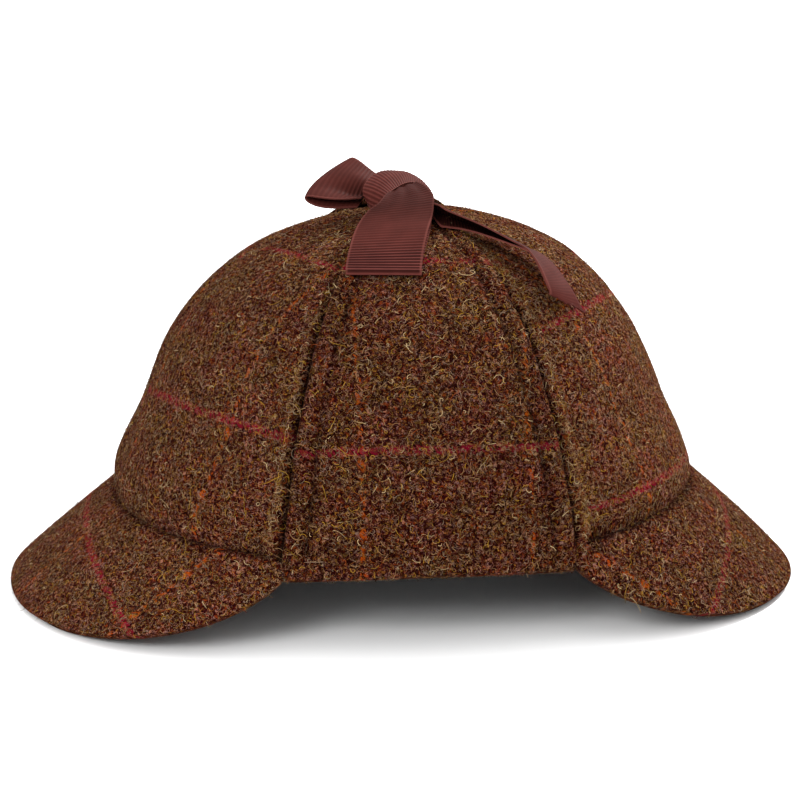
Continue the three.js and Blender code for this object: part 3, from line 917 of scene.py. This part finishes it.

# Painted shade and highlight on the ribs: the rib wave darkens the grooves and lightens the crests,
# faintly in the plain colours and strongly in the rib colours.
plain_colours = (0.047, 0.0104, 0.0081, 1), (0.058, 0.0138, 0.0106, 1)
rib_shade_colours = (0.011, 0.0015, 0.0013, 1), (0.188, 0.0525, 0.0445, 1)
# Painted highlight: a lighter line along both edges of the ribbon, where light catches its selvage.
lit_selvage_colour = (0.13, 0.040, 0.032, 1)
worn_tints = (0.75, 0.72, 0.72, 1), (1.2, 1.15, 1.15, 1)
plain = mix_colours(ribbon_nodes, rib_wave, *plain_colours)
rib_shading = mix_colours(ribbon_nodes, rib_wave, *rib_shade_colours)
ribbon_colour = mix_colours(ribbon_nodes, rib_shade_share, plain, rib_shading)
from_middle = math_node(ribbon_nodes, "ABSOLUTE", ribbon_split.outputs["X"])
lit_selvage = math_node(ribbon_nodes, "MULTIPLY", soft_step(ribbon_nodes, from_middle, 0.0116, 0.0122), 0.5)
ribbon_colour = mix_colours(ribbon_nodes, lit_selvage, ribbon_colour, lit_selvage_colour)
worn = mix_colours(ribbon_nodes, ribbon_fade.outputs["Fac"], *worn_tints)
ribbon_colour = mix_colours(ribbon_nodes, 1.0, ribbon_colour, worn, "MULTIPLY")
fold_shade = math_node(ribbon_nodes, "ADD", math_node(ribbon_nodes, "MINIMUM", ribbon_painted_shade, 0.0), 1.0)
ribbon_lit = add_node(ribbon_nodes, "ShaderNodeVectorMath", operation="SCALE")
rib_depth = math_node(ribbon_nodes, "MULTIPLY_ADD", rib_shade_share, 0.7, 0.3)
rib_depth = math_node(ribbon_nodes, "MULTIPLY", rib_wave, rib_depth)
ribbon_height = math_node(ribbon_nodes, "MULTIPLY_ADD", ribbon_yarn.outputs["Fac"], 0.4, rib_depth)
ribbon_relief = add_node(ribbon_nodes, "ShaderNodeBump")
set_inputs(ribbon_relief, Strength=0.25, Distance=0.0002)
link_nodes(
    ribbon_nodes,
    (ribbon_colour, ribbon_lit.inputs[0]),
    (fold_shade, ribbon_lit.inputs["Scale"]),
    (ribbon_lit.outputs["Vector"], ribbon_shader.inputs["Base Color"]),
    (ribbon_height, ribbon_relief.inputs["Height"]),
    (ribbon_relief.outputs["Normal"], ribbon_shader.inputs["Normal"]),
)


def ribbon_piece(name, folds, wall, rib_shading, columns=12, profile=None, forward=None):
    """A ribbon along its folds. Its rib function says how strongly painted shade and highlight show on its
    ribs, and below zero how much painted shade darkens a fold; profile how far it bulges from its line,
    and forward how far it is pushed to the front of the hat."""
    fine = np.linspace(0, 1, 2000)
    walked = smooth_rows(folds, fine)[:, :3]
    walked = np.concatenate([[0], np.cumsum(np.linalg.norm(np.diff(walked, axis=0), axis=1))])
    total = walked[-1]

    def shape(u, v):
        t = np.interp(v * total, walked, fine)
        row = smooth_rows(folds, t)
        step = 2e-3
        onward = smooth_rows(folds, np.minimum(t + step, 1)) - smooth_rows(folds, np.maximum(t - step, 0))
        turn = np.radians(row[:, 3])
        rise = np.radians(row[:, 4])
        across = np.stack([np.cos(turn) * np.cos(rise), np.sin(turn) * np.cos(rise), np.sin(rise)], -1)
        normal = np.cross(across, onward[:, :3])
        normal /= np.linalg.norm(normal, axis=1, keepdims=True)
        painted_shade = np.clip(rib_shading(u, v), -1, 1)
        ribs = (0.015 + 0.1 * np.abs(painted_shade)) * np.sin(2 * np.pi * v * total / rib_pitch)
        bulge = profile(u, row, normal) if profile else row[:, 6] * np.cos(3 * np.pi * u)
        point = row[:, :3] + across * (u * row[:, 5] / 2)[:, None] + normal * (ribs + bulge)[:, None]
        if forward:
            point[:, 0] -= forward(u, v)
        return point, np.stack([u * ribbon_half, v * total], -1), painted_shade

    piece = cloth_grid(name, columns, int(total * 5.5), shape)
    thicken(piece, wall)
    return piece


KNOT_FOLDS = np.array([
    # x, y, z, turn, rise, width, pleats
    (-11.6, -14.2, 135.0, -66, -10, 7, 0.2),
    (-11.8, -14.4, 138.1, -50, -13, 9, 0.2),
    (-10.7, -13.0, 140.5, -45, -13, 10.5, 0.2),
    (-8.5, -10.0, 142.5, -51, -18, 11.2, 0.2),
    (-5.2, -6.8, 143.8, -64, -21, 11.6, 0.2),
    (-0.9, -3.2, 144.0, -78, -15, 11.2, 0.2),
    (3.2, 0.8, 143.1, -86, -11, 10.2, 0.2),
    (7.4, 4.2, 140.5, -92, -4, 9, 0.2),
    (10.6, 6.4, 136.8, -94, -4, 8, 0.2),
])


gathers_radius = 9.2
gathers_half_height = 4.0
gathers_y = -4.5
gathers_z = 137.4
knot_wall = 1.6


def gathers_shape(u, v):
    """The gathered ribbon that fills the knot."""
    turn = np.pi * u
    lift = np.pi * (v - 0.5)
    pleat = 1 + 0.05 * np.sin(9 * turn)
    point = np.stack([
        gathers_radius * pleat * np.cos(lift) * np.cos(turn),
        gathers_radius * pleat * np.cos(lift) * np.sin(turn) + gathers_y,
        gathers_half_height * np.sin(lift) + gathers_z,
    ], -1)
    # The gathered core is painted a little darker, as painted shade inside the knot.
    return point, np.stack([ribbon_half * np.sin(lift), gathers_radius * turn], -1), -0.2


def knot_ribs(u, v):
    return 0.42 + 0 * u


def knot_profile(u, row, normal):
    return 0.9 * (1 - u**2)


gathers = cloth_grid("bow_gathers", 72, 20, gathers_shape)
close_seam(0.05)
bpy.ops.object.shade_smooth()
knot = ribbon_piece("bow_knot", KNOT_FOLDS, knot_wall, knot_ribs, 14, knot_profile)
bpy.ops.object.select_all(action="DESELECT")
gathers.select_set(True)
knot.select_set(True)
bpy.context.view_layer.objects.active = knot
bpy.ops.object.join()
dress(knot, ribbon_cloth, "ribbon", "tie_knot")

LOOP_FRONT_FOLDS = np.array([
    # x, y, z, turn, rise, width, depth of the pinch at the near side
    (-11.8, -3.6, 141.2, 65, 20, 17, 2.2),
    (-16.0, -3.0, 142.2, 62, 23, 21, 2.4),
    (-19.7, -1.8, 143.2, 59, 25, 24, 1.4),
    (-23.1, -0.8, 143.9, 54, 25, 25.5, 0.5),
    (-25.9, 0.2, 143.7, 50, 22, 26, 0),
    (-27.0, 0.5, 142.6, 50, 21, 26, 0),
    (-26.2, 0.3, 141.0, 53, 22, 25.5, 0),
    (-23.5, -0.5, 139.8, 57, 23, 25, 0),
    (-19.9, -1.8, 138.8, 61, 22, 23, 0),
    (-13.0, -3.2, 137.6, 64, 20, 18, 0),
])


# Painted shade in the gather at the near side by the knot, where the ribs also show.
def loop_front_shading(u, v):
    return -0.1 - 0.5 * np.exp(-((v / 0.2) ** 2) - ((u + 0.4) / 0.5) ** 2)


def loop_front_profile(u, row, normal):
    dip = -row[:, 6] * np.exp(-(((u + 0.45) / 0.3) ** 2))
    crest = 0.35 * row[:, 6] * np.exp(-(((u - 0.25) / 0.35) ** 2))
    return np.sign(normal[:, 2]) * (dip + crest)


def loop_front_forward(u, v):
    return 2.6 * (1 - u**2) * np.exp(-(((v - 0.5) / 0.2) ** 2))


loop_front = ribbon_piece(
    "bow_loop_front", LOOP_FRONT_FOLDS, ribbon_wall, loop_front_shading, 22,
    loop_front_profile, loop_front_forward,
)
dress(loop_front, ribbon_cloth, "ribbon", "tie_loop_front")

LOOP_LEFT_FOLDS = np.array([
    # x, y, z, turn, rise, width, pleats
    (-0.4, -10.6, 141.4, 19, 14, 10, 0.25),
    (-0.6, -16.6, 140.7, 14, 9, 15.2, 0.25),
    (-1.1, -21.7, 138.9, 9, 7, 19.7, 0.12),
    (-3.1, -25.9, 136.9, 3, 5, 22.7, 0.06),
    (-5.4, -31.0, 133.9, -1, 4, 24.8, 0),
    (-8.0, -37.6, 130.2, -6, 3, 25, 0),
    (-10.4, -45.3, 125.4, -7, 2, 25, 0),
    (-11.7, -51.0, 121.9, -8, 0, 25, 0),
    (-12.0, -52.9, 120.8, -8, 0, 25, 0),
    (-12.0, -53.2, 120.1, -8, 0, 25, 0),
    (-11.8, -51.9, 120.1, -8, 0, 25, 0),
    (-10.6, -46.0, 123.9, -7, 1, 25, 0),
    (-8.0, -38.0, 128.3, -6, 2, 25, 0),
    (-4.6, -29.0, 132.4, -2, 3, 23, 0),
    (-1.2, -19.0, 136.6, 8, 4, 18, 0),
    (0.0, -12.0, 138.2, 15, 6, 12, 0.2),
])


# Painted shade near the knot, where the loop falls from it; further down, painted shade and highlight on
# its ribs grow stronger.
def loop_left_shading(u, v):
    return -0.38 + 1.23 * np.clip((v - 0.16) / 0.28, 0, 1) ** 1.3


loop_left = ribbon_piece("bow_loop_left", LOOP_LEFT_FOLDS, ribbon_wall, loop_left_shading)
dress(loop_left, ribbon_cloth, "ribbon", "tie_loop_left")

tail_cloth_length = 75
TAIL_FOLDS = np.array([
    # near edge x, y, z, fold x, y, z, and how high the upper half's edge stands above the near edge
    (6.0, -16.5, 136.2, 7.0, -12.0, 136.6, 1.0),
    (9.2, -30.8, 131.6, 10.0, -20.0, 134.0, 7.0),
    (11.8, -32.0, 130.8, 12.6, -21.5, 133.0, 6.2),
    (16.4, -33.1, 130.3, 17.3, -22.3, 131.1, 4.8),
    (21.1, -34.9, 129.4, 21.9, -24.0, 129.5, 3.9),
    (25.7, -38.1, 128.3, 26.6, -26.6, 127.7, 3.1),
    (31.6, -41.4, 126.5, 32.7, -29.8, 125.9, 2.0),
    (37.4, -43.9, 124.5, 38.9, -32.6, 123.4, 0.9),
    (39.1, -48.1, 122.7, 43.5, -34.3, 121.8, 0.7),
    (40.4, -51.9, 120.1, 47.5, -37.8, 118.8, 0.6),
    (41.8, -54.0, 116.6, 50.7, -41.8, 114.7, 0.6),
    (42.9, -54.7, 113.7, 53.7, -45.5, 109.8, 0.6),
    (43.3, -54.3, 112.2, 56.8, -47.5, 103.6, 0.6),
])


def tail_shape(u, v):
    row = smooth_rows(TAIL_FOLDS, v)
    edge = row[:, :3]
    spine = row[:, 3:6]
    out = np.abs(u)[:, None]
    upper = u > 0
    point = spine + (edge - spine) * out
    stand = np.where(upper, row[:, 6] * out[:, 0] ** 0.7, 0)
    belly = np.where(upper, 0.5, -0.3) * np.sin(np.pi * out[:, 0])
    point[:, 2] += stand + belly
    point[:, 1] += np.where(upper, 1.2 * out[:, 0], 0)
    fray = np.where(v > 0.99, 0.5 * np.sin(41 * u) + 0.35 * np.sin(97 * u + 1), 0)
    point[:, 2] -= 0.8 * fray
    point[:, 0] += 0.3 * fray
    # Painted shade inside the fold of the tail, except near its edges and its flat end.
    inside = np.clip((0.68 - v) / 0.15, 0, 1) * np.clip((0.93 - np.abs(u)) / 0.08, 0, 1)
    return point, np.stack([ribbon_half * u, tail_cloth_length * v], -1), 0.02 - 0.75 * inside


tail = cloth_grid("bow_tail", 28, 300, tail_shape)
thicken(tail, ribbon_wall)
dress(tail, ribbon_cloth, "ribbon", "tie_tail_back")

ROOT_FOLDS = np.array([
    # x, y, z, turn, rise, width, pleats
    (1.6, 27.6, 132.6, 180, 0, 20, 0),
    (1.6, 20.0, 134.9, 180, 0, 17, 0.2),
    (1.8, 13.0, 136.8, 180, 0, 13, 0.45),
    (2.0, 7.0, 138.0, 180, 0, 10, 0.6),
])


def root_ribs(u, v):
    return 0.3 + 0 * u


root = ribbon_piece("bow_root", ROOT_FOLDS, ribbon_wall, root_ribs)
dress(root, ribbon_cloth, "ribbon", "tie_root_right")
